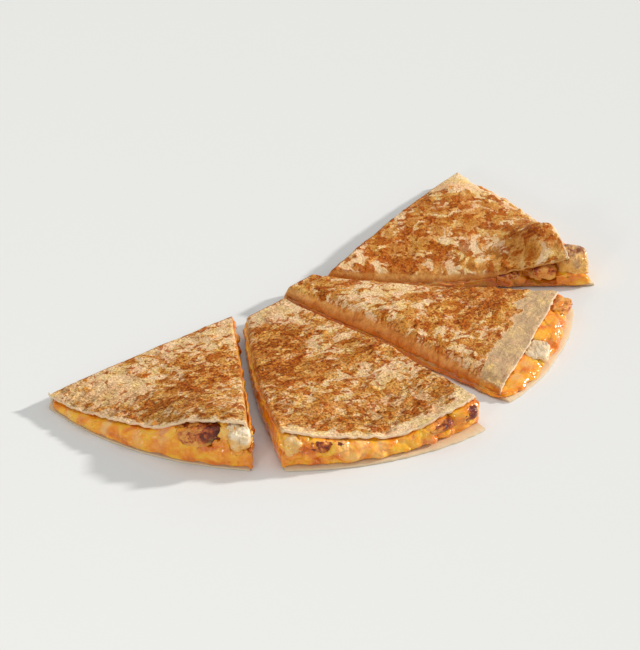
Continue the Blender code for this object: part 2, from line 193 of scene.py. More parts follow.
def preparePlans():
    for number, (name, plan) in enumerate(wedges.items()):
        left, right = plan["left"], plan["right"]
        plan["name"] = name
        plan["seed"] = 11.3 + 7.1 * number
        plan["foldEnds"] = (left["start"] if left else -tortilla["radius"],
                            right["start"] if right else tortilla["radius"])
        plan["arcEnds"] = (cutEndAngle(left) if left else -math.pi, cutEndAngle(right) if right else 0.0)
        plan["shares"] = (0.0 if left else tortilla["tipShare"], 1.0 if right else 1.0 - tortilla["tipShare"])


def sectionAt(plan, across):
    # start, direction and length of the line from the fold to the arc
    startX = mix(*plan["foldEnds"], across)
    angle = mix(*plan["arcEnds"], across)
    lineX = np.cos(angle) * tortilla["radius"] - startX
    lineY = np.sin(angle) * tortilla["radius"]
    line = np.hypot(lineX, lineY)
    return startX, lineX / line, lineY / line, line - through(plan["trims"], across) * mm


def spotAt(plan, across, reach):
    # a point of the flat plan, this far along a section
    startX, dirX, dirY, length = sectionAt(plan, across)
    leftBow, rightBow = plan["bow"]
    bow = mix(leftBow, -rightBow, across) * mm * np.sin(np.pi * np.clip(reach / length, 0.0, 1.0))
    return startX + dirX * reach + dirY * bow, dirY * reach - dirX * bow


def straightSpot(plan, across, reach):
    # the same point before the cuts bow
    startX, dirX, dirY, _ = sectionAt(plan, across)
    return startX + dirX * reach, dirY * reach


def locate(plan, x, y):
    # the other way round: which section a point lies on, and how far along it
    low, high = np.full_like(x, -0.15), np.full_like(x, 1.15)
    for _ in range(26):
        across = (low + high) / 2
        startX, dirX, dirY, _ = sectionAt(plan, across)
        onRight = dirX * y - dirY * (x - startX) > 0
        low, high = np.where(onRight, across, low), np.where(onRight, high, across)
    return across, dirX * (x - startX) + dirY * y


def straighten(plan, x, y):
    # takes the bow of the cuts back out of a place in the plan
    across, reach = locate(plan, x, y)
    _, dirX, dirY, length = sectionAt(plan, across)
    leftBow, rightBow = plan["bow"]
    bow = mix(leftBow, -rightBow, across) * mm * np.sin(np.pi * np.clip(reach / length, 0.0, 1.0))
    return x - dirY * bow, y + dirX * bow


def awayFromCut(cut, x, y):
    # distance to the line of one cut
    return np.abs((x - cut["start"]) * -math.sin(cut["angle"]) - y * math.cos(cut["angle"]))


def awayFromCuts(plan, x, y):
    # distance to the nearer of a wedge's cuts
    away = np.full_like(x, tortilla["radius"])
    for cut in (plan["left"], plan["right"]):
        if cut:
            away = np.minimum(away, awayFromCut(cut, x, y))
    return away


def foldRadius(plan, across):
    return through(plan["heights"][0], across) * mm / 2


def foldDepth(plan, across):
    return np.maximum(foldRadius(plan, across) * tortilla["foldSquash"], tortilla["foldLeast"])


def turnReach(plan, across):
    return foldDepth(plan, across) / -sectionAt(plan, across)[2]


def topReach(plan, across):
    ripple = 0.5 * noiseAt(np.asarray(across) * 7.0, plan["arcEnds"][0] * 3.0, 0.3, 0.0)
    inset = (through(plan["insets"], across) + ripple) * mm
    return sectionAt(plan, across)[3] - np.maximum(inset, 0.2 * mm)


def topHeight(plan, across, out, turnEnd, topEnd):
    # the upper surface, from the end of the fold's round (out = 0) to the upper sheet's edge (out = 1)
    level = through([through(row, across) for row in plan["heights"]], out) * mm
    startX, dirX, dirY, _ = sectionAt(plan, across)
    reach = mix(turnEnd, topEnd, out)
    x, y = startX + dirX * reach, dirY * reach
    fade = np.minimum(1.0, out * 4)
    for bumpAcross, bumpOut, bumpHeight, radius in plan["bumps"]:
        one = np.array([bumpAcross])
        bumpX, bumpY = spotAt(plan, one, mix(turnReach(plan, one), topReach(plan, one), bumpOut))
        away = np.hypot(x - bumpX, y - bumpY) / (radius * mm)
        level = level + bumpHeight * mm * np.exp(-away * away) * fade
    for cut, press in zip((plan["left"], plan["right"]), plan["press"]):
        if cut:
            away = awayFromCut(cut, x, y) / tortilla["pressReach"]
            level = level - press * mm * np.exp(-away * away) * fade
    return np.maximum(level, tortilla["leastHeight"])


def underTop(plan, across, out):
    # the lower face of the upper sheet
    level = topHeight(plan, across, out, turnReach(plan, across), topReach(plan, across))
    return level - tortilla["thickness"]


def rollAt(plan, x, y, out):
    # how far into the rounded, pressed-down border by a cut a point lies: 0 at its start, 1 at the cut
    into = np.zeros_like(x)
    for cut, widths in zip((plan["left"], plan["right"]), plan["rolls"]):
        if cut:
            wave = noiseAt(x * tortilla["rollWaves"], y * tortilla["rollWaves"], 0.0, 73.0)
            wide = through(widths, out)
            width = np.maximum(wide * (1 + 0.35 * wave), 0.05) * mm
            share = np.clip(1 - awayFromCut(cut, x, y) / width, 0.0, 1.0)
            into = np.maximum(into, share * ease(wide, 0.2, 1.6))
    return into


def rollDrop(plan, into):
    return plan["rollDrop"] * into ** 1.8


def crimpAt(plan, x, y):
    # how far a cut edge of the upper sheet turns down, 0 away from the cuts and 1 at them
    into = np.clip(1 - awayFromCuts(plan, x, y) / tortilla["crimpWidth"], 0.0, 1.0)
    return 1 - np.sqrt(1 - into * into)


def setDown(plan, x, y):
    # slides and turns the flat plan's points to where the wedge lies
    turn = math.radians(plan["turn"])
    shiftX, shiftY = (shift * mm + middle for shift, middle in zip(plan["shift"], tortilla["centre"]))
    return (x * math.cos(turn) - y * math.sin(turn) + shiftX,
            x * math.sin(turn) + y * math.cos(turn) + shiftY)


def liftUp(plan, x, y):
    # back from where the wedge lies to the flat plan
    turn = math.radians(plan["turn"])
    shiftX, shiftY = (shift * mm + middle for shift, middle in zip(plan["shift"], tortilla["centre"]))
    x, y = x - shiftX, y - shiftY
    return x * math.cos(turn) + y * math.sin(turn), y * math.cos(turn) - x * math.sin(turn)


def deselectAll():
    for thing in bpy.context.selected_objects:
        thing.select_set(False)


def makeActive(piece):
    deselectAll()
    piece.select_set(True)
    bpy.context.view_layer.objects.active = piece


def applyAll(piece):
    makeActive(piece)
    for modifier in list(piece.modifiers):
        bpy.ops.object.modifier_apply(modifier=modifier.name)


def editWhole(piece, operator, **settings):
    # runs one edit mode operator on all of a piece
    makeActive(piece)
    bpy.ops.object.mode_set(mode="EDIT")
    bpy.ops.mesh.select_all(action="SELECT")
    operator(**settings)
    bpy.ops.object.mode_set(mode="OBJECT")


def readVectors(items, key):
    values = np.empty(len(items) * 3, np.float32)
    items.foreach_get(key, values)
    return values.reshape(-1, 3).astype(float)


def writePlaces(mesh, places):
    mesh.vertices.foreach_set("co", np.ascontiguousarray(places, np.float32).ravel())
    mesh.update()


def writeShares(mesh, name, values):
    layer = mesh.attributes.new(name, "FLOAT", "POINT")
    layer.data.foreach_set("value", np.ascontiguousarray(values, np.float32).ravel())


def writeVectors(mesh, name, values):
    layer = mesh.attributes.new(name, "FLOAT_VECTOR", "POINT")
    layer.data.foreach_set("vector", np.ascontiguousarray(values, np.float32).ravel())


def keepInside(places):
    # nothing reaches past the box of the solid model
    inside = 0.03 * mm
    return np.clip(places, np.array(cadBox[0]) + (inside, inside, 0.0), np.array(cadBox[1]) - inside)


def finishPiece(piece, node):
    mesh = piece.data
    mesh.name = piece.name
    makeActive(piece)
    bpy.ops.object.shade_smooth()
    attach(piece, "root")
    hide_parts(node)
    print(piece.name, "has", len(mesh.polygons), "faces")


def setSockets(node, settings):
    for name, value in settings.items():
        node.inputs[name].default_value = value


class Finish:
    # a material in the making: each call adds a node and gives back its output
    def __init__(self, name):
        self.material = bpy.data.materials.new(name)
        self.material.use_nodes = True
        self.tree = self.material.node_tree
        self.shader = self.tree.nodes["Principled BSDF"]

    def add(self, kind, inputs=None, **settings):
        made = self.tree.nodes.new("ShaderNode" + kind)
        for key, value in settings.items():
            setattr(made, key, value)
        for key, value in (inputs or {}).items():
            if isinstance(value, bpy.types.NodeSocket):
                self.tree.links.new(value, made.inputs[key])
            else:
                made.inputs[key].default_value = value
        return made.outputs[0]

    def ramp(self, factor, stops):
        ramp = self.add("ValToRGB", {0: factor})
        band = ramp.node.color_ramp
        while len(band.elements) > 1:
            band.elements.remove(band.elements[-1])
        band.elements[0].position = stops[0][0]
        band.elements[0].color = (*stops[0][1], 1.0)
        for place, colour in stops[1:]:
            band.elements.new(place).color = (*colour, 1.0)
        return ramp

    def math(self, operation, first, second=0.0, third=0.0):
        return self.add("Math", {0: first, 1: second, 2: third}, operation=operation)

    def times(self, first, second):
        return self.math("MULTIPLY", first, second)

    def scaled(self, value, factor, offset):
        return self.math("MULTIPLY_ADD", value, factor, offset)

    def faded(self, value, mask, share):
        return self.times(value, self.scaled(mask, -share, 1.0))

    def step(self, factor, low, high):
        # a crisp border between two tones
        return self.add("MapRange", {"Value": factor, "From Min": low, "From Max": high})

    def noise(self, place, scale, detail=3.0, roughness=0.55, distortion=0.0):
        return self.add("TexNoise", {"Vector": place, "Scale": scale, "Detail": detail,
                                     "Roughness": roughness, "Distortion": distortion})

    def stretch(self, place, scale):
        return self.add("Mapping", {"Vector": place, "Scale": scale})

    def blend(self, factor, first, second, kind="MIX"):
        inputs = {0: factor, 6: first, 7: second}
        inputs = {key: (*value, 1.0) if isinstance(value, tuple) else value for key, value in inputs.items()}
        return self.add("Mix", inputs, data_type="RGBA", blend_type=kind).node.outputs[2]

    def read(self, name, output="Fac"):
        made = self.add("Attribute", attribute_name=name, attribute_type="GEOMETRY")
        return made.node.outputs[output]

    def objectPlace(self):
        return self.add("TexCoord").node.outputs["Object"]

    def bump(self, height, strength, distance):
        bump = self.add("Bump", {"Strength": strength, "Distance": distance, "Height": height})
        self.link(bump, "Normal")
        return bump

    def link(self, output, name):
        self.tree.links.new(output, self.shader.inputs[name])


# A pattern is (scale per metre, detail, roughness, distortion), tones run along it from light to dark,
# and a border is (where the next tone starts, where it is full).
toastLook = {
    "stretch": (0.85, 1.0, 1.0),
    "crust": (190.0, 6.0, 0.62, 0.5),
    "crustTones": ((0.36, (0.77, 0.435, 0.150)), (0.48, (0.67, 0.310, 0.072)), (0.60, (0.54, 0.195, 0.028))),
    "brown": (125.0, 7.0, 0.62, 0.6),
    "brownTones": ((0.36, (0.64, 0.250, 0.038)), (0.50, (0.53, 0.160, 0.014)), (0.62, (0.36, 0.082, 0.004))),
    "brownBorder": (0.520, 0.550),
    "cream": (165.0, 5.0, 0.58, 0.9),
    "creamTones": ((0.40, (0.93, 0.680, 0.410)), (0.62, (0.84, 0.550, 0.265))),
    "creamBorder": (0.515, 0.545),
    "rust": (300.0, 4.0, 0.60, 0.6),
    "rustColour": (0.44, 0.098, 0.004),
    "rustBorder": (0.545, 0.572),
    "char": (640.0, 3.0, 0.60, 0.4),
    "charColour": (0.22, 0.040, 0.002),
    "charBorder": (0.570, 0.605),
    "creaseStretch": (0.30, 1.0, 1.0),
    "creases": (520.0, 3.0, 0.6, 0.8),
    "creaseBorder": (0.040, 0.010),
    "creaseShadeTone": (0.62, 0.46, 0.32),
    "grain": (1000.0, 3.0, 0.65),
    "speckle": ((0.37, (0.42, 0.34, 0.25)), (0.47, (1.0, 1.0, 1.0)), (0.60, (1.32, 1.38, 1.44))),
    "warmth": (130.0, 4.0, 0.6),
    "warmTones": ((0.36, (1.0, 1.03, 0.78)), (0.5, (1.0, 1.0, 1.0)), (0.64, (1.0, 0.88, 0.88))),
    "warmShare": 0.85,
    "bandColour": (0.480, 0.300, 0.155),
    "bandSpeck": (0.35, 0.218, 0.115),
    "bandSpeckBorder": (0.60, 0.64),
    "bandBorder": (0.66, 0.44),
    "soaked": ((0.34, (0.80, 0.460, 0.160)), (0.50, (0.74, 0.370, 0.092)), (0.66, (0.64, 0.250, 0.040))),
    # the darkest soak: browned filling with painted shade in it
    "darkSoakAndShadeTone": (0.55, 0.170, 0.018),
    "mottled": ((0.38, (1.06, 1.10, 1.16)), (0.50, (1.0, 1.0, 1.0)), (0.60, (0.84, 0.70, 0.58))),
    "soakBorder": (0.12, 0.62),
    "rimPaleAndLitColour": (0.96, 0.76, 0.52),
    "shader": {"Specular IOR Level": 0.10, "Coat Roughness": 0.3},
    "bump": 0.8 * mm,
}


def makeToastFinish():
    look = toastLook
    mat = Finish("toastedTortilla")
    place, arcPlace = mat.read("sheetPlace", "Vector"), mat.read("arcPlace", "Vector")
    grainPlace = mat.read("grainPlace", "Vector")
    names = ("toast", "soaked", "darkSoakAndShade", "lined", "crisp", "band", "rim")
    toast, soaked, darkSoakAndShade, lined, crisp, band, rim = (mat.read(name) for name in names)
    stretched = mat.stretch(place, look["stretch"])
    crust = mat.noise(place, *look["crust"])
    brown = mat.noise(stretched, *look["brown"])
    cream = mat.noise(stretched, *look["cream"])
    rust = mat.noise(stretched, *look["rust"])
    char = mat.noise(grainPlace, *look["char"])
    grain = mat.noise(grainPlace, *look["grain"])
    # golden crust, browner patches in it, cream islands that never touched the pan, rust spots and char
    colour = mat.ramp(crust, look["crustTones"])
    patches = mat.scaled(rust, 0.45, mat.times(brown, 0.55))
    brownHere = mat.step(mat.scaled(toast, 0.46, patches), *look["brownBorder"])
    brownHere = mat.faded(brownHere, lined, 0.40)
    deeper = mat.scaled(char, 0.5, mat.times(brown, 0.5))
    colour = mat.blend(brownHere, colour, mat.ramp(deeper, look["brownTones"]))
    creamHere = mat.step(mat.scaled(toast, -0.90, cream), *look["creamBorder"])
    creamHere = mat.faded(mat.faded(creamHere, brownHere, 0.85), lined, 0.45)
    colour = mat.blend(creamHere, colour, mat.ramp(crust, look["creamTones"]))
    rustHere = mat.step(mat.scaled(toast, 0.35, rust), *look["rustBorder"])
    colour = mat.blend(mat.times(rustHere, 0.80), colour, look["rustColour"])
    charHere = mat.step(mat.scaled(toast, 0.5, char), *look["charBorder"])
    charHere = mat.times(charHere, mat.scaled(brownHere, 0.60, 0.25))
    colour = mat.blend(charHere, colour, look["charColour"])
    # thin creases, most of them parallel to the arc, darkened with painted shade; the bump sinks them too
    crease = mat.noise(mat.stretch(arcPlace, look["creaseStretch"]), *look["creases"])
    crease = mat.math("ABSOLUTE", mat.math("SUBTRACT", crease, 0.5))
    crease = mat.step(crease, *look["creaseBorder"])
    creased = mat.times(mat.scaled(lined, 0.55, 0.15), crisp)
    crease = mat.times(crease, mat.times(creased, mat.step(brown, 0.36, 0.50)))
    colour = mat.blend(crease, colour, look["creaseShadeTone"], "MULTIPLY")
    # fine speckle, and slow changes of warmth
    speckle = mat.ramp(grain, look["speckle"])
    speckled = mat.faded(mat.scaled(crisp, 0.90, 0.05), creamHere, 0.40)
    speckled = mat.faded(speckled, band, 0.45)
    colour = mat.blend(speckled, colour, speckle, "MULTIPLY")
    warm = mat.ramp(mat.noise(place, *look["warmth"]), look["warmTones"])
    colour = mat.blend(look["warmShare"], colour, warm, "MULTIPLY")
    # the pale band along the arc
    bandTone = mat.step(char, *look["bandSpeckBorder"])
    bandTone = mat.blend(bandTone, look["bandColour"], look["bandSpeck"])
    bandHere = mat.times(band, mat.step(crust, *look["bandBorder"]))
    colour = mat.blend(bandHere, colour, bandTone)
    # by the cuts the filling soaked through, darker towards the cut edge and the open end: partly browned
    # filling, partly painted shade where the rolled border turns down
    wet = mat.blend(darkSoakAndShade, mat.ramp(crust, look["soaked"]), look["darkSoakAndShadeTone"])
    wet = mat.blend(1.0, wet, mat.ramp(rust, look["mottled"]), "MULTIPLY")
    wet = mat.blend(0.3, wet, speckle, "MULTIPLY")
    wetHere = mat.scaled(mat.math("SUBTRACT", crust, 0.5), 1.1, soaked)
    wetHere = mat.times(mat.step(wetHere, *look["soakBorder"]), mat.step(soaked, 0.0, 0.5))
    colour = mat.blend(wetHere, colour, wet)
    # the arc's edge turns light cream: partly its pale untoasted dough, partly a painted highlight on the
    # edge
    colour = mat.blend(rim, colour, look["rimPaleAndLitColour"])
    mat.link(colour, "Base Color")
    dull = mat.scaled(soaked, -0.22, mat.scaled(crust, -0.35, 0.82))
    mat.link(dull, "Roughness")
    mat.link(mat.times(soaked, 0.35), "Coat Weight")
    setSockets(mat.shader, look["shader"])
    height = mat.scaled(crust, 0.8, mat.times(grain, 0.8))
    height = mat.scaled(crease, -0.55, mat.scaled(char, 1.0, height))
    mat.bump(mat.faded(height, soaked, 0.75), 1.0, look["bump"])
    return mat.material


doughLook = {
    "layers": (420.0, 4.0, 0.6),
    "stains": (120.0, 3.0, 0.6),
    "bareColour": (0.71, 0.555, 0.360),    # the lower sheet where the filling doesn't reach
    "bareShare": 0.80,
    "stainColour": (0.74, 0.36, 0.09),
    "oilColour": (0.66, 0.26, 0.045),
    "shader": {"Specular IOR Level": 0.35},
    "bump": 0.3 * mm,
}


def makeDoughFinish(name, light, dark, oil):
    # untoasted dough: the cut edges and the inner face, which the filling stains
    look = doughLook
    mat = Finish(name)
    place = mat.objectPlace()
    layers = mat.noise(mat.stretch(place, (1.0, 1.0, 3.0)), *look["layers"])
    lightest = tuple(min(1.0, part * 1.06) for part in light)
    colour = mat.ramp(layers, ((0.34, dark), (0.52, light), (0.66, lightest)))
    stain = mat.noise(place, *look["stains"])
    stain = mat.ramp(stain, ((0.48, (0.0, 0.0, 0.0)), (0.66, (1.0, 1.0, 1.0))))
    bare = mat.read("bare")
    colour = mat.blend(mat.times(bare, look["bareShare"]), colour, look["bareColour"])
    stain = mat.times(stain, mat.scaled(bare, -0.8 * oil, oil))
    colour = mat.blend(stain, colour, look["stainColour"])
    oiled = mat.times(mat.read("oiled"), oil * 1.5)
    colour = mat.blend(oiled, colour, look["oilColour"])
    mat.link(colour, "Base Color")
    mat.link(mat.scaled(layers, 0.3, 0.42), "Roughness")
    mat.bump(layers, 0.6, look["bump"])
    setSockets(mat.shader, look["shader"])
    return mat.material


cheeseLook = {
    "tones": ((0.34, (0.74, 0.175, 0.004)), (0.45, (0.87, 0.280, 0.006)),
              (0.56, (0.92, 0.385, 0.010)), (0.66, (0.93, 0.500, 0.030))),
    "cream": (0.90, 0.640, 0.250),
    "sideShadeAndBrowningTone": (0.50, 0.34, 0.30),
    "stretch": (0.9, 0.9, 1.3),
    "marbling": (145.0, 2.5, 0.5, 0.5),
    "fine": (620.0, 3.0, 0.6),
    "smears": (300.0, 3.0, 0.6),         # where it is more or less glossy
    "bubbles": 720.0,
    "bubbly": (170.0, 2.0, 0.5),
    "shader": {
        "Specular IOR Level": 0.45, "Coat Weight": 0.45, "Coat Roughness": 0.07,
        "Subsurface Weight": 0.30, "Subsurface Radius": (1.0, 0.40, 0.08), "Subsurface Scale": 1.3 * mm,
    },
    "bump": 0.40 * mm,
}


def makeCheeseFinish():
    look = cheeseLook
    mat = Finish("meltedCheese")
    place = mat.objectPlace()
    marbling = mat.noise(mat.stretch(place, look["stretch"]), *look["marbling"])
    fine = mat.noise(place, *look["fine"])
    marbling = mat.math("ADD", mat.scaled(fine, 0.16, marbling), -0.08)
    colour = mat.ramp(marbling, look["tones"])
    paleness = mat.math("ADD", mat.scaled(fine, 0.5, -0.25), mat.read("pale"))
    colour = mat.blend(mat.add("Clamp", {"Value": paleness}), colour, look["cream"])
    # the cheese on the cut sides is browned, and also darkened with painted shade where those sides face away
    # from the light
    colour = mat.blend(mat.read("sideShadeAndBrowning"), colour, look["sideShadeAndBrowningTone"], "MULTIPLY")
    mat.link(colour, "Base Color")
    gloss = mat.scaled(mat.noise(place, *look["smears"]), 0.36, 0.04)
    mat.link(gloss, "Roughness")
    setSockets(mat.shader, look["shader"])
    # small domed bubbles, in some places more than in others
    bubbles = mat.add("TexVoronoi", {"Vector": place, "Scale": look["bubbles"], "Smoothness": 0.35},
                      feature="SMOOTH_F1")
    bubbles = mat.times(bubbles, mat.step(mat.noise(place, *look["bubbly"]), 0.46, 0.60))
    relief = mat.scaled(bubbles, -1.4, mat.times(fine, 0.35))
    bump = mat.bump(relief, 0.6, look["bump"])
    mat.link(bump, "Coat Normal")
    return mat.material


chickenLook = {
    "coarse": (300.0, 4.0, 0.6, 0.3),
    "fine": (1100.0, 3.0, 0.6),
    "tanTone": (0.86, 0.66, 0.50),
    "stainColour": (0.88, 0.46, 0.085),
    "specks": 900.0,
    "speckColour": (0.05, 0.012, 0.004),
    "shader": {"Specular IOR Level": 0.30, "Coat Roughness": 0.15},
    "bump": 0.30 * mm,
}


def makeChickenFinish(name, stops, specks, wet):
    look = chickenLook
    mat = Finish(name)
    place = mat.objectPlace()
    coarse = mat.noise(place, *look["coarse"])
    fine = mat.noise(place, *look["fine"])
    darkness = mat.math("ADD", mat.scaled(fine, 0.4, coarse), mat.read("char"))
    colour = mat.ramp(mat.math("ADD", darkness, -0.2), stops)
    colour = mat.blend(mat.read("tan"), colour, look["tanTone"], "MULTIPLY")
    colour = mat.blend(mat.read("stain"), colour, look["stainColour"])
    dots = mat.add("TexVoronoi", {"Vector": place, "Scale": look["specks"]})
    dotMask = mat.ramp(dots, ((0.18, (1.0, 1.0, 1.0)), (0.30, (0.0, 0.0, 0.0))))
    dotMask = mat.times(mat.times(dotMask, mat.step(coarse, 0.46, 0.54)), specks)
    colour = mat.blend(dotMask, colour, look["speckColour"])
    mat.link(colour, "Base Color")
    mat.link(mat.scaled(coarse, 0.45, 0.10), "Roughness")
    setSockets(mat.shader, look["shader"])
    setSockets(mat.shader, {"Coat Weight": wet})
    mat.bump(fine, 0.7, look["bump"])
    return mat.material


charredStops = ((0.22, (0.84, 0.40, 0.090)), (0.40, (0.72, 0.27, 0.045)), (0.52, (0.47, 0.100, 0.014)),
                (0.63, (0.20, 0.024, 0.005)), (0.80, (0.08, 0.009, 0.002)))
paleStops = ((0.22, (0.94, 0.79, 0.56)), (0.44, (0.80, 0.61, 0.34)), (0.58, (0.62, 0.40, 0.17)),
             (0.72, (0.46, 0.19, 0.05)), (0.86, (0.26, 0.07, 0.02)))


def sheetGrid(plan):
    # the whole outer face of the folded sheet: out along the bottom, round the fold, back over the top
    bottom, turn, top = tortilla["bottomRows"], tortilla["turnRows"], tortilla["topRows"]
    even = np.linspace(0.0, 1.0, tortilla["columns"] + 1)
    even = even - tortilla["edgeDensity"] * np.sin(2 * math.pi * even) / (2 * math.pi)
    across = mix(*plan["shares"], even)
    length = sectionAt(plan, across)[3]
    steep = -sectionAt(plan, across)[2]
    radius, depth = foldRadius(plan, across), foldDepth(plan, across)
    turnEnd, topEnd = turnReach(plan, across), topReach(plan, across)
    rows = []
    for k in range(bottom):
        reach = mix(length, turnEnd, k / bottom)
        rows.append((reach, np.zeros_like(reach), (reach - turnEnd) * steep + radius * math.pi / 2))
    for k in range(turn):
        angle = math.pi * (k / turn - 0.5)
        reach = (depth - depth * math.cos(angle)) / steep
        rows.append((reach, radius + radius * math.sin(angle), -radius * angle))
    for k in range(top + 1):
        out = k / top
        reach = mix(turnEnd, topEnd, out)
        rows.append((reach, topHeight(plan, across, out, turnEnd, topEnd),
                     -(reach - turnEnd) * steep - radius * math.pi / 2))
    reach, level, flatY = (np.array(part) for part in zip(*rows))
    acrossAll = np.broadcast_to(across, reach.shape)
    return acrossAll, reach, level, flatY


def gridNormals(places):
    # normals of a grid of points, rows by columns
    alongRows = np.gradient(places, axis=0)
    alongColumns = np.gradient(places, axis=1)
    normals = np.cross(alongRows, alongColumns)
    return normals / np.maximum(np.linalg.norm(normals, axis=2, keepdims=True), 1e-12)


# waves of the sheet: (size across, size out, height, seed), in millimetres
sheetWaves = {
    "swell": (19, 15, 0.55, 3.1),
    "lumps": (8.5, 6.5, 0.55, 8.7),
    "warp": (13, 9, 2.6, 5.3),
    "blisters": (4.6, 3.6, 1.0, 33.0),
    "fine": (1.9, 1.6, 0.13, 41.0),
    "band": (8, 5, 4.6, 55.0),
    "bandFine": (2.2, 1.8, 1.8, 57.0),
    "edge": (8, 8, 0.55, 67.0),
    "edgeFine": (2.3, 2.3, 0.30, 61.0),
    "ragged": (5, 5, 0.12, 77.0),
    "rim": (3, 3, 0.5, 79.0),
    "oil": (6, 6, 1.0, 91.0),
}


def sheetWave(u, v, name):
    across, out, height, seed = sheetWaves[name]
    return noiseAt(u / across, v / out, 0.0, seed) * height


def thicken(piece, thick):
    # gives the sheet its thickness and softens its cut edges
    thick = np.round(thick, 2)
    group = piece.vertex_groups.new(name="thickness")
    for share in np.unique(thick):
        group.add(np.nonzero(np.abs(thick - share) < 0.001)[0].tolist(), float(share), "REPLACE")
    solidify = piece.modifiers.new("thickness", "SOLIDIFY")
    solidify.thickness = tortilla["thickness"]
    solidify.offset = -1.0
    solidify.vertex_group = "thickness"
    solidify.material_offset = 1
    solidify.material_offset_rim = 2
    bevel = piece.modifiers.new("roundRim", "BEVEL")
    bevel.width = tortilla["roundRim"]
    bevel.segments = 2
    bevel.limit_method = "ANGLE"
    bevel.angle_limit = tortilla["bevelAngle"]
    applyAll(piece)
    piece.vertex_groups.clear()


def measureSheet(plan):
    # where every point of the sheet lies on the plan, and how near it is to the arc and the cuts
    across, reach, level, flatY = sheetGrid(plan)
    flatX, planY = spotAt(plan, across, reach)
    straightX, straightY = straightSpot(plan, across, reach)
    length, topEnd = sectionAt(plan, across)[3], topReach(plan, across[0])
    topStart = tortilla["bottomRows"] + tortilla["turnRows"]
    row = np.arange(len(reach))[:, None]
    isTop = (row >= topStart) * np.ones_like(reach)
    out = np.clip((reach - turnReach(plan, across)) / (topEnd - turnReach(plan, across)), 0.0, 1.0)
    return SimpleNamespace(
        across=across, reach=reach, level=level, flatX=flatX, flatY=flatY, planY=planY,
        u=flatX / mm, v=flatY / mm, out=out, isTop=isTop,
        onTop=ease(row, topStart - tortilla["turnRows"] * 0.6, topStart + 4) * np.ones_like(reach),
        arcLength=across * length / mm,
        fromArc=np.where(isTop > 0, topEnd - reach, length - reach),
        fromCut=awayFromCuts(plan, straightX, straightY) / mm,
        into=rollAt(plan, straightX, straightY, out) * ease(row, tortilla["bottomRows"], topStart),
        crimp=crimpAt(plan, straightX, straightY) * ease(row, topStart, topStart + 12),
    )


def makeRelief(plan, sheet):
    # swellings, wrinkles and blisters in millimetres, and a lip that lifts and dips along the arc
    u, v = sheet.u, sheet.v
    warp = sheetWave(u, v, "warp")
    ridges = 1 - np.abs(noiseAt(u / 11 + warp * 0.3, (v + warp) / 2.1, 0.0, 14.9)) * 2.4
    slanted = 1 - np.abs(noiseAt((u + v * 0.5) / 9, (v - u * 0.25 + warp) / 2.6, 0.0, 21.4)) * 2.4
    sheet.nearArc = 0.30 + 0.70 * ease(-sheet.fromArc, -42 * mm, -4 * mm)
    sheet.wrinkles = (ridges * 0.6 + slanted * 0.4) * 0.52 * plan["wrinkle"] * sheet.nearArc
    sheet.blisters = ease(sheetWave(u, v, "blisters"), 0.16, 0.5) * 0.42
    lip = noiseAt(sheet.arcLength / 9.0, 0.0, 0.0, plan["seed"]) * 1.5
    lip = lip + noiseAt(sheet.arcLength / 3.4, 0.0, 0.0, plan["seed"] + 5) * 0.5
    lip = lip * np.exp(-((np.maximum(sheet.fromArc, 0.0) / (4.5 * mm)) ** 2)) * sheet.isTop
    relief = sheetWave(u, v, "swell") + sheetWave(u, v, "lumps") + sheet.wrinkles + sheet.blisters
    relief = (relief + sheetWave(u, v, "fine")) * sheet.onTop * (1 - 0.7 * ease(sheet.into, 0.1, 0.9))
    return relief - 0.55 * sheet.onTop + lip * 0.45


def laySheet(plan, sheet):
    # where the sheet lies: pressed down by the cuts, in relief, and with a ragged arc
    x, y = setDown(plan, sheet.flatX, sheet.planY)
    places = np.stack([x, y, sheet.level], 2)
    normals = gridNormals(places)
    if normals[-20, normals.shape[1] // 2, 2] < 0:
        normals = -normals
    sheet.dropped = sheet.level * rollDrop(plan, sheet.into) + sheet.crimp * tortilla["crimpDepth"]
    places[:, :, 2] -= sheet.dropped
    places = places + normals * (makeRelief(plan, sheet) * mm)[:, :, None]
    edgeNoise = sheetWave(sheet.u, sheet.v, "edgeFine") * mm + sheetWave(sheet.u, sheet.v, "edge") * mm
    nearRim = np.exp(-sheet.fromArc / (1.2 * mm))
    inner = spotAt(plan, sheet.across, sheet.reach - 1.0 * mm)
    inward = np.stack(setDown(plan, *inner), 2) - places[:, :, :2]
    inward = inward / np.maximum(np.linalg.norm(inward, axis=2, keepdims=True), 1e-9)
    places[:, :, :2] += inward * (np.maximum(edgeNoise + 0.25 * mm, 0.0) * nearRim)[:, :, None]
    return keepInside(places)


def toastSheet(plan, sheet):
    # where it toasted, from -0.5 to 0.5 or so, with a band along the arc that stayed pale
    toast = np.full_like(sheet.reach, plan["toasted"])
    for spotAcross, spotOut, strength, radius in plan["toast"]:
        one = np.array([spotAcross])
        spotX, spotY = spotAt(plan, one, mix(turnReach(plan, one), topReach(plan, one), spotOut))
        away = np.hypot(sheet.flatX - spotX, (sheet.planY - spotY) * 1.3) / (radius * mm)
        toast = toast + strength * np.exp(-away * away) * sheet.isTop
    toast = toast + (sheet.wrinkles * 0.16 + sheet.blisters * 0.20 - 0.07) * sheet.isTop
    band = through(plan["paleBand"], sheet.across)
    band = band + sheetWave(sheet.u, sheet.v, "band") + sheetWave(sheet.u, sheet.v, "bandFine")
    sheet.pale = 1 - ease(sheet.fromArc / mm, band - 1.4, band + 1.4)
    return toast - 0.36 * sheet.pale


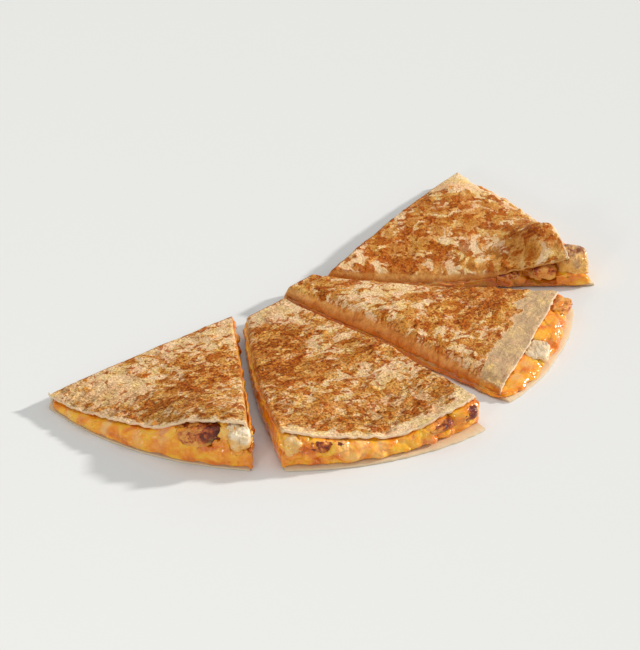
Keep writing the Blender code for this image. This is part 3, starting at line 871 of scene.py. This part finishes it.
def paintSheet(plan, sheet, mesh):
    # gives the mesh what its finish reads: places for the patterns, and how far each thing reaches
    flat = np.stack([sheet.flatX, sheet.flatY, sheet.dropped], 2)
    alongArc = np.arctan2(-sheet.planY, sheet.flatX) * 0.7 * tortilla["radius"]
    writeVectors(mesh, "sheetPlace", flat * plan["patches"])
    writeVectors(mesh, "grainPlace", flat)
    writeVectors(mesh, "arcPlace", np.stack([alongArc, sheet.fromArc, sheet.dropped], 2))
    u, v, into, out = sheet.u, sheet.v, sheet.into, sheet.out
    fromArc, isTop = sheet.fromArc / mm, sheet.isTop
    toast = toastSheet(plan, sheet)
    ragged = into + sheetWave(u, v, "ragged")
    soaked = np.maximum(ease(ragged, 0.0, 0.8) * (into > 0), ease(sheet.crimp, 0.10, 0.8))
    # darker soak at the very cut edge and near the open end: partly browned filling, partly painted shade at
    # the foot of the rolled border
    darkSoakAndShade = ease(into, 0.5, 1.0) * 0.75 + ease(into, 0.2, 0.8) * ease(out, 0.70, 0.95) * 0.6
    byCut = 1 - ease(sheet.fromCut, 0.6, 2.6 + sheetWave(u, v, "oil"))
    shares = {
        "toast": toast,
        "soaked": plan["soak"] * soaked,
        "darkSoakAndShade": np.minimum(darkSoakAndShade, 1.0) * plan["soak"],
        "oiled": byCut * ease(fromArc, 3.0, 9.0) * (1 - 0.45 * sheet.onTop),
        "lined": sheet.nearArc * plan["wrinkle"] / 1.25 * isTop * (1 - 0.85 * sheet.pale),
        "crisp": np.full_like(into, plan["crisp"]),
        "across": sheet.across,
        "band": plan["bandShade"] * sheet.pale * isTop,
        "bare": (1 - ease(fromArc, 6.0, 9.0)) * (1 - isTop),
        # a light edge along the arc: pale dough, with a painted highlight on it too
        "rim": 0.85 * (1 - ease(fromArc, 0.1, 1.0 + sheetWave(u, v, "rim"))),
    }
    for name, values in shares.items():
        writeShares(mesh, name, values)


def makeTortilla(plan, finishes):
    sheet = measureSheet(plan)
    places = laySheet(plan, sheet)
    rowCount, columnCount = sheet.reach.shape
    deselectAll()
    bpy.ops.mesh.primitive_grid_add(x_subdivisions=columnCount - 1, y_subdivisions=rowCount - 1, size=0.1)
    piece = bpy.context.object
    piece.name = "toasted_" + plan["name"]
    mesh = piece.data
    writePlaces(mesh, places.reshape(-1, 3))
    paintSheet(plan, sheet, mesh)
    middle = mesh.polygons[(rowCount - 30) * (columnCount - 1) + columnCount // 2]
    if middle.normal.z < 0:
        editWhole(piece, bpy.ops.mesh.flip_normals)
    rimThickness = np.where(sheet.isTop > 0, tortilla["rimThickness"], plan["lowerRim"])
    thick = mix(rimThickness, 1.0, ease(sheet.fromArc, 0.0, tortilla["rimWidth"]))
    for finish in finishes:
        mesh.materials.append(finish)
    thicken(piece, (thick * (1 - 0.35 * sheet.crimp)).ravel())
    # the cut edges are as oily as the inner face, the arc keeps its pale rim
    across = np.empty(len(mesh.vertices), np.float32)
    mesh.attributes["across"].data.foreach_get("value", across)
    leftmost, rightmost = plan["shares"]
    for face in mesh.polygons:
        middle = float(across[list(face.vertices)].mean())
        inside = leftmost + tortilla["cutShare"] <= middle <= rightmost - tortilla["cutShare"]
        if face.material_index == 2 and not inside:
            face.material_index = 1
    finishPiece(piece, "tortilla_" + plan["name"])


cheese = {
    "voxel": 0.50 * mm,
    "inflate": 0.35 * mm,
    "lap": 1.1 * mm,
    "lapReach": 1.5 * mm,
    "frontInset": 2.4 * mm,  # the front ends this far from the arc, and stands out at least frontLeast
    "frontLeast": 1.0 * mm,
    "frontFoot": 2.8 * mm,   # height of the lowest blobs
    "bed": 0.72,             # how high it lies, as a share of the lower sheet's thickness
    "overhang": 1.1 * mm,
    "pocket": 0.95 * mm,     # closer to the chicken than this, the cheese sticks to it
    "touch": 0.12 * mm,
    # for a blob: how far round the front in degrees, size, length, inset, flatness and paleness
    "frontBlobs": 68,        # for each radian of the arc
    "blobs": ((34, 88), (1.0, 3.0), (0.9, 2.2), (0.10, 0.75), (0.6, 1.1), (-3.0, 0.9)),
    "beads": 60,
    "beadShape": ((35, 88), (0.5, 0.95), (0.2, 0.5), (1.0, 1.8)),
    "sideBlobs": 12,
    "sideShape": ((0.04, 0.96), (0.2, 0.75), (1.2, 2.4), (1.5, 3.5), (0.5, 0.8), (-1.8, 0.8)),
    "pull": 2.6 * mm,        # how far a blob's paleness spreads
    "smoothing": 5,
}


def copyNode(node, name):
    # a loose copy of a solid from the frame, with its triangles joined up
    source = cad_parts[node]
    piece = bpy.data.objects.new(name, source.data.copy())
    bpy.context.scene.collection.objects.link(piece)
    piece.data.materials.clear()
    editWhole(piece, bpy.ops.mesh.remove_doubles, threshold=0.01 * mm)
    return piece


def remesh(piece, voxel, smoothing):
    modifier = piece.modifiers.new("melt", "REMESH")
    modifier.mode = "VOXEL"
    modifier.voxel_size = voxel
    smooth = piece.modifiers.new("soften", "SMOOTH")
    smooth.factor = 0.5
    smooth.iterations = smoothing
    applyAll(piece)


def facingOut(plan, here, inner, height):
    # where a spot of the plan lies, and the level direction towards it from a spot further in
    (x, y), (inX, inY) = setDown(plan, *here), setDown(plan, *inner)
    outward = Vector((float(x[0] - inX[0]), float(y[0] - inY[0]), 0.0)).normalized()
    return Vector((float(x[0]), float(y[0]), float(height[0]))), outward


def frontSpot(plan, across, turned):
    # a place on the open front: turned is 0 at the upper sheet's edge and a quarter circle at the bottom
    one = np.array([across])
    length = sectionAt(plan, one)[3]
    topEnd = topReach(plan, one)
    front = np.maximum(length - cheese["frontInset"], topEnd + cheese["frontLeast"])
    reach = mix(topEnd, front, math.sin(turned))
    height = mix(cheese["frontFoot"], underTop(plan, one, 1.0), math.cos(turned))
    return facingOut(plan, spotAt(plan, one, reach), spotAt(plan, one, reach - 1 * mm), height)


def sideSpot(plan, across, out, rise):
    # a place on a cut side: out runs from the fold to the arc, rise from the lower sheet to the upper
    one, inner = np.array([across]), np.array([mix(across, 0.5, 0.1)])
    reach = mix(turnReach(plan, one), topReach(plan, one), out)
    height = mix(tortilla["thickness"], underTop(plan, one, out), rise)
    return facingOut(plan, spotAt(plan, one, reach), spotAt(plan, inner, reach), height)


def readSolid(node):
    # a solid of the frame, for measuring distances to it
    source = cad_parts[node]
    return BVHTree.FromPolygons([source.matrix_world @ corner.co for corner in source.data.vertices],
                                [tuple(face.vertices) for face in source.data.polygons])


def addBlob(place, size, facing):
    bpy.ops.mesh.primitive_ico_sphere_add(subdivisions=3, radius=1.0, location=place, scale=size,
                                          rotation=(0.0, 0.0, math.atan2(facing.y, facing.x)))
    return bpy.context.object


def addBlobs(plan, solids):
    # soft blobs on the open front and the cut sides, and how pale the cheese is round most of them
    draw = random.Random(int(plan["seed"] * 10))
    blobs, centres = [], []
    blobCount = round(cheese["frontBlobs"] * (plan["arcEnds"][1] - plan["arcEnds"][0]))
    firstBlob = 0.03 if plan["left"] else 0.18
    lastBlob = 0.97 if plan["right"] else 0.82
    turns, sizes, stretches, insets, flats, tones = cheese["blobs"]
    for k in range(blobCount):
        across = mix(firstBlob, lastBlob, (k + draw.random()) / blobCount)
        place, outward = frontSpot(plan, across, math.radians(draw.uniform(*turns)))
        size = draw.uniform(*sizes) * mm
        stretch = draw.uniform(*stretches)
        place = place - outward * size * draw.uniform(*insets)
        flat = draw.uniform(*flats)
        paleness = max(0.0, draw.uniform(*tones))
        clear = size * 1.6 * plan["chickenShows"]
        if all(solid.find_nearest(place, clear)[3] is None for solid in solids):
            blobs.append(addBlob(place, (size, size * stretch, size * flat), outward))
            centres.append((place, paleness))
    turns, sizes, standing, stretches = cheese["beadShape"]
    for k in range(cheese["beads"]):
        across = draw.uniform(firstBlob, lastBlob)
        place, outward = frontSpot(plan, across, math.radians(draw.uniform(*turns)))
        size = draw.uniform(*sizes) * mm
        place = place + outward * draw.uniform(*standing) * mm
        blobs.append(addBlob(place, (size, size * draw.uniform(*stretches), size), outward))
    outs, rises, sizes, stretches, insets, tones = cheese["sideShape"]
    for side, cut in ((0.0, plan["left"]), (1.0, plan["right"])):
        for k in range(cheese["sideBlobs"] if cut else 0):
            place, outward = sideSpot(plan, side, draw.uniform(*outs), draw.uniform(*rises))
            size = draw.uniform(*sizes) * mm
            stretch = draw.uniform(*stretches)
            place = place - outward * size * draw.uniform(*insets)
            blobs.append(addBlob(place, (size, size * stretch, size * 0.8), outward))
            centres.append((place, max(0.0, draw.uniform(*tones))))
    return blobs, centres


def spreadPaleness(places, centres):
    # every place takes the paleness of the three blobs nearest to it
    tree = KDTree(len(centres))
    for k, (centre, _) in enumerate(centres):
        tree.insert(centre, k)
    tree.balance()
    pale = []
    for spot in places.tolist():
        total, weight = 0.0, 1e-9
        for _, k, away in tree.find_n(spot, 3):
            share = math.exp(-((away / cheese["pull"]) ** 2))
            total += share * centres[k][1]
            weight += share
        pale.append(total / weight * min(1.0, weight * 1.5))
    return np.array(pale)


def swellCheese(plan, solids, places, normals):
    # swells the cheese in slow waves and fine ripples, and gives back the waves too
    u, v, w = (places[:, axis] / mm for axis in range(3))
    wave = noiseAt(u / 5.2, v / 5.2, w / 3.0, 3.0)
    ripple = noiseAt(u / 1.6, v / 1.6, w / 1.4, 9.0)
    grow = cheese["inflate"] + (0.80 * wave + 0.20 * ripple) * mm
    # it laps over the edges of the chicken
    for solid in solids:
        for k, spot in enumerate(places.tolist()):
            away = solid.find_nearest(Vector(spot), cheese["lapReach"])[3]
            if away is not None:
                extra = plan["chickenLap"] * max(0.15, 0.4 + 1.6 * ripple[k] + 1.4 * wave[k])
                extra -= plan["chickenShows"] * (1.0 + 1.5 * wave[k])
                grow[k] += cheese["lap"] * extra * (1 - away / cheese["lapReach"])
                if away < cheese["pocket"]:
                    grow[k] = max(grow[k], away + cheese["touch"])
    return places + normals * grow[:, None], wave


def settleCheese(plan, places, wave):
    # the face draws back under the lip of the upper sheet, more in some places than in others
    flatX, flatY = straighten(plan, *liftUp(plan, places[:, 0], places[:, 1]))
    across, reach = locate(plan, flatX, flatY)
    topEnd, turnEnd = topReach(plan, across), turnReach(plan, across)
    lip = underTop(plan, across, 1.0)
    rise = np.clip((places[:, 2] - 2.0 * mm) / (lip - 2.0 * mm), 0.0, 1.0)
    front = ease(reach - topEnd, -2.5 * mm, 1.0 * mm)
    drawn = front * rise ** 1.5 * (1.8 + 2.0 * noiseAt(across * 9, rise * 1.5, 0.0, plan["seed"]))
    places[:, 2] = np.where(front > 0.2, np.minimum(places[:, 2], lip - 0.1 * mm), places[:, 2])
    # and its foot runs out over the lower sheet
    length = sectionAt(plan, across)[3]
    foot = through(plan["lap"], across) + 1.6 * noiseAt(across * 14, 0.0, 0.0, plan["seed"] + 2)
    foot = np.clip(foot * (1 - rise) * front, -3.5, np.maximum((length - 0.4 * mm - reach) / mm, 0.0))
    moved = reach - (np.maximum(drawn, 0.0) - foot) * mm
    backX, backY = setDown(plan, *spotAt(plan, across, moved))
    hereX, hereY = setDown(plan, *spotAt(plan, across, reach))
    places[:, 0] += backX - hereX
    places[:, 1] += backY - hereY
    out = np.clip((reach - turnEnd) / (topEnd - turnEnd), 0.0, 1.0)
    into = rollAt(plan, flatX, flatY, out)
    crimp = crimpAt(plan, flatX, flatY) * ease(out, 0.0, 0.08)
    # the knife pressed it down by the cuts, and the open end of a wedge may have sunk
    bottom = tortilla["thickness"] * cheese["bed"]
    sunk = plan["sink"] * ease(out, 0.66, 0.92) * (1 - ease(across, 0.22, 0.50))
    sunk = sunk * (0.8 + 0.5 * noiseAt(across * 8, out * 8, 0.0, 5.0))
    places[:, 2] = bottom + (places[:, 2] - bottom) * (1 - 1.25 * rollDrop(plan, into) - 0.10 * crimp - sunk)
    # here and there it runs down over the edge of the lower sheet
    leftmost, rightmost = plan["shares"]
    outside = ease(across, leftmost + 0.006, leftmost - 0.002) if plan["left"] else 0.0
    if plan["right"]:
        outside = np.maximum(outside, ease(across, rightmost - 0.006, rightmost + 0.002))
    runs = outside * cheese["overhang"] * ease(wave, -0.35, 0.1) * ease(places[:, 2], 5.0 * mm, 2.4 * mm)
    places[:, 2] = np.maximum(places[:, 2] - runs, bottom - runs)
    # near the cuts the cheese is browned, and darkened with painted shade as well
    bySide = 1 - ease(awayFromCuts(plan, flatX, flatY), 1.5 * mm, 4.0 * mm)
    sideShadeAndBrowning = plan["sideShadeAndBrowning"] * bySide * (1 - ease(reach, topEnd - 14.0 * mm, topEnd - 3.0 * mm))
    return keepInside(places), sideShadeAndBrowning


def makeCheese(plan, finish):
    name = plan["name"]
    piece = copyNode("cheese_" + name, "melted_" + name)
    solids = [readSolid(node) for node in sorted(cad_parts) if node.startswith("chicken_" + name)]
    deselectAll()
    blobs, centres = addBlobs(plan, solids)
    makeActive(piece)
    for blob in blobs:
        blob.select_set(True)
    bpy.ops.object.join()
    remesh(piece, cheese["voxel"], cheese["smoothing"])
    mesh = piece.data
    places, normals = readVectors(mesh.vertices, "co"), readVectors(mesh.vertex_normals, "vector")
    places, wave = swellCheese(plan, solids, places, normals)
    places, sideShadeAndBrowning = settleCheese(plan, places, wave)
    writePlaces(mesh, places)
    writeShares(mesh, "pale", spreadPaleness(places, centres))
    writeShares(mesh, "sideShadeAndBrowning", sideShadeAndBrowning)
    mesh.materials.append(finish)
    finishPiece(piece, "cheese_" + name)


# how charred each piece is overall, to the right and at its top, how far up the cheese stains it, how tan
charred = {
    "chicken_wedge_1_charred": (-0.10, 0.38, 0.0, 0.0, 0.0),
    "chicken_wedge_1_torn": (-0.16, 0.0, 0.0, 0.30, 0.12),
    "chicken_wedge_2_corner": (-0.14, 0.0, 0.0, 0.80, 0.0),
    "chicken_wedge_2_charred": (0.02, 0.10, 0.0, -0.3, 0.0),
    "chicken_wedge_2_brown": (-0.18, 0.22, 0.0, -0.2, 0.0),
    "chicken_wedge_2_seared": (0.06, 0.10, 0.0, -0.3, 0.0),
    "chicken_wedge_3_torn": (-0.20, 0.0, 0.0, 0.25, 0.35),
    "chicken_wedge_3_charred": (-0.10, 0.0, 0.0, 0.20, 0.0),
    "chicken_wedge_4_end": (-0.06, 0.0, 0.26, 0.60, 0.70),
    "chicken_wedge_4_side": (-0.06, 0.0, 0.0, 0.05, 0.0),
    # the red piece sits in the open end's hollow: its dark red is partly sear and partly painted shade of the
    # hollow
    "chicken_wedge_4_red": (0.07, 0.0, 0.0, -0.3, 0.0),
}
chicken = {
    "voxel": 0.42 * mm,
    "lumps": 0.55,
    "fibres": 0.34,
    "palePieces": ("torn", "corner", "end"),
    "pale": {"smoothing": 16, "lumps": 1.3, "fibres": 1.3, "pits": 0.15, "grow": 0.25},
    "charred": {"smoothing": 4, "lumps": 1.0, "fibres": 0.6, "pits": 0.45, "grow": -0.1},
}


def makeChicken(node, finishes):
    kind = "pale" if node.rsplit("_", 1)[1] in chicken["palePieces"] else "charred"
    shape = chicken[kind]
    piece = copyNode(node, node.replace("chicken", "grilled"))
    remesh(piece, chicken["voxel"], shape["smoothing"])
    mesh = piece.data
    places, normals = readVectors(mesh.vertices, "co"), readVectors(mesh.vertex_normals, "vector")
    seed = sum(ord(letter) for letter in node) % 37
    x, y, z = (places[:, axis] / mm for axis in range(3))
    lean = 0.6 + (seed % 5) * 0.3
    along, beside = x * math.cos(lean) + y * math.sin(lean), y * math.cos(lean) - x * math.sin(lean)
    lumps = noiseAt(x / 3.6, y / 3.6, z / 3.0, seed) * chicken["lumps"] * shape["lumps"]
    warp = noiseAt(x / 3, y / 3, z / 3, seed + 4) * 0.8
    fibres = 1 - np.abs(noiseAt(along / 6.5, beside / 0.95 + warp, z / 0.95 + warp, seed + 9)) * 2.6
    pits = ease(noiseAt(x / 1.3, y / 1.3, z / 1.3, seed + 20), 0.25, 0.6)
    grow = lumps + fibres * chicken["fibres"] * shape["fibres"] - pits * shape["pits"] + shape["grow"]
    places = keepInside(places + normals * (grow * mm)[:, None])
    writePlaces(mesh, places)
    patches = noiseAt(x / 4.0, y / 4.0, z / 3.5, seed + 30)
    overall, toRight, toTop, stained, tan = charred[node]
    rightward = (x - y) / 1.414
    share = (rightward - rightward.mean()) / (np.ptp(rightward) / 2)
    char = patches * 0.26 - fibres * 0.05 + overall + toRight * ease(share, -0.5, 0.6)
    rise = (z - z.min()) / (z.max() - z.min())
    char = char + toTop * ease(rise + 0.15 * patches, 0.62, 0.95)
    writeShares(mesh, "char", char)
    writeShares(mesh, "tan", np.full_like(z, tan))
    stain = 1 - ease(rise + 0.55 * lumps + 0.3 * patches - stained, 0.0, 0.5)
    writeShares(mesh, "stain", np.clip(stain * 0.9, 0.0, 1.0))
    mesh.materials.append(finishes[kind])
    finishPiece(piece, node)


studio = {
    "aim": (-0.00377, 0.03372, 0.0),
    "azimuth": math.radians(-46.0),
    "elevation": math.radians(32.0),
    "distance": 1.5,
    "lens": 185.2,
    "sensor": 36.0,
    "nearest": 0.05,          # the camera sees nothing closer than this
    "floorSize": 6.0,
    "floorDrop": 0.2 * mm,
    "floorColour": (0.768, 0.781, 0.775, 1.0),
    "floorShader": {"Roughness": 0.7, "Specular IOR Level": 0.2},
    "keyColour": (1.0, 0.965, 0.92),
    "worldColour": (1.0, 0.99, 0.97, 1.0),
    "keyFrom": (0.889, -0.458),
    "keyRise": math.radians(22.0),
    "keyAway": 2.0,
    "keyStrength": 3.1,
    "keySoftness": math.radians(4.0),
    "worldStrength": 0.50,
    "overhead": 5.0,
    "overheadPlace": (0.0, 0.1, 1.6),
    "overheadSize": 1.4,
    "fill": 2.0,
    "fillAway": 1.2,
    "fillFrom": (-0.88, -0.32, 0.33),
    "fillSize": 0.15,
}


def addSoftbox(name, place, size, energy, turn=(0.0, 0.0, 0.0)):
    bpy.ops.object.light_add(type="AREA", location=place)
    softbox = bpy.context.object
    softbox.name = name
    softbox.rotation_euler = turn
    softbox.data.shape = "SQUARE"
    softbox.data.size = size
    softbox.data.energy = energy


def makeStudio():
    deselectAll()
    bpy.ops.mesh.primitive_plane_add(size=studio["floorSize"], location=(0.0, 0.0, -studio["floorDrop"]))
    floor = bpy.context.object
    floor.name = "studioFloor"
    mat = Finish("paleFloor")
    setSockets(mat.shader, {"Base Color": studio["floorColour"], **studio["floorShader"]})
    floor.data.materials.append(mat.material)

    aim = Vector(studio["aim"])
    azimuth, elevation = studio["azimuth"], studio["elevation"]
    level = math.cos(elevation)
    back = Vector((math.sin(azimuth) * level, -math.cos(azimuth) * level, math.sin(elevation)))
    bpy.ops.object.camera_add(location=aim + back * studio["distance"])
    camera = bpy.context.object
    camera.rotation_euler = back.to_track_quat("Z", "Y").to_euler()
    camera.data.lens = studio["lens"]
    camera.data.sensor_width = studio["sensor"]
    camera.data.clip_start = studio["nearest"]
    bpy.context.scene.camera = camera

    rise = studio["keyRise"]
    fromKey = Vector((*(part * math.cos(rise) for part in studio["keyFrom"]), math.sin(rise)))
    bpy.ops.object.light_add(type="SUN", location=fromKey * studio["keyAway"])
    key = bpy.context.object
    key.name = "keyLight"
    key.rotation_euler = fromKey.to_track_quat("Z", "Y").to_euler()
    key.data.energy = studio["keyStrength"]
    key.data.angle = studio["keySoftness"]
    key.data.color = studio["keyColour"]

    addSoftbox("overheadSoftbox", studio["overheadPlace"], studio["overheadSize"], studio["overhead"])
    fillFrom = Vector(studio["fillFrom"])
    fillTurn = fillFrom.to_track_quat("Z", "Y").to_euler()
    fillPlace = aim + fillFrom * studio["fillAway"]
    addSoftbox("frontSoftbox", fillPlace, studio["fillSize"], studio["fill"], fillTurn)

    world = bpy.data.worlds.new("studioWorld")
    world.use_nodes = True
    background = world.node_tree.nodes["Background"]
    setSockets(background, {"Color": studio["worldColour"], "Strength": studio["worldStrength"]})
    bpy.context.scene.world = world
    bpy.context.scene.view_settings.view_transform = "Standard"
    print("studio ready")


preparePlans()
toastFinish = makeToastFinish()
innerFinish = makeDoughFinish("innerDough", (0.80, 0.58, 0.34), (0.70, 0.42, 0.19), 0.6)
edgeFinish = makeDoughFinish("cutDough", (0.92, 0.72, 0.48), (0.82, 0.58, 0.34), 0.2)
cheeseFinish = makeCheeseFinish()
chickenFinishes = {
    "charred": makeChickenFinish("charredChicken", charredStops, 0.9, 0.25),
    "pale": makeChickenFinish("paleChicken", paleStops, 0.3, 0.65),
}
print("finishes ready")

for plan in wedges.values():
    makeTortilla(plan, (toastFinish, innerFinish, edgeFinish))
    makeCheese(plan, cheeseFinish)
for node in sorted(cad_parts):
    if node.startswith("chicken_"):
        makeChicken(node, chickenFinishes)
makeStudio()
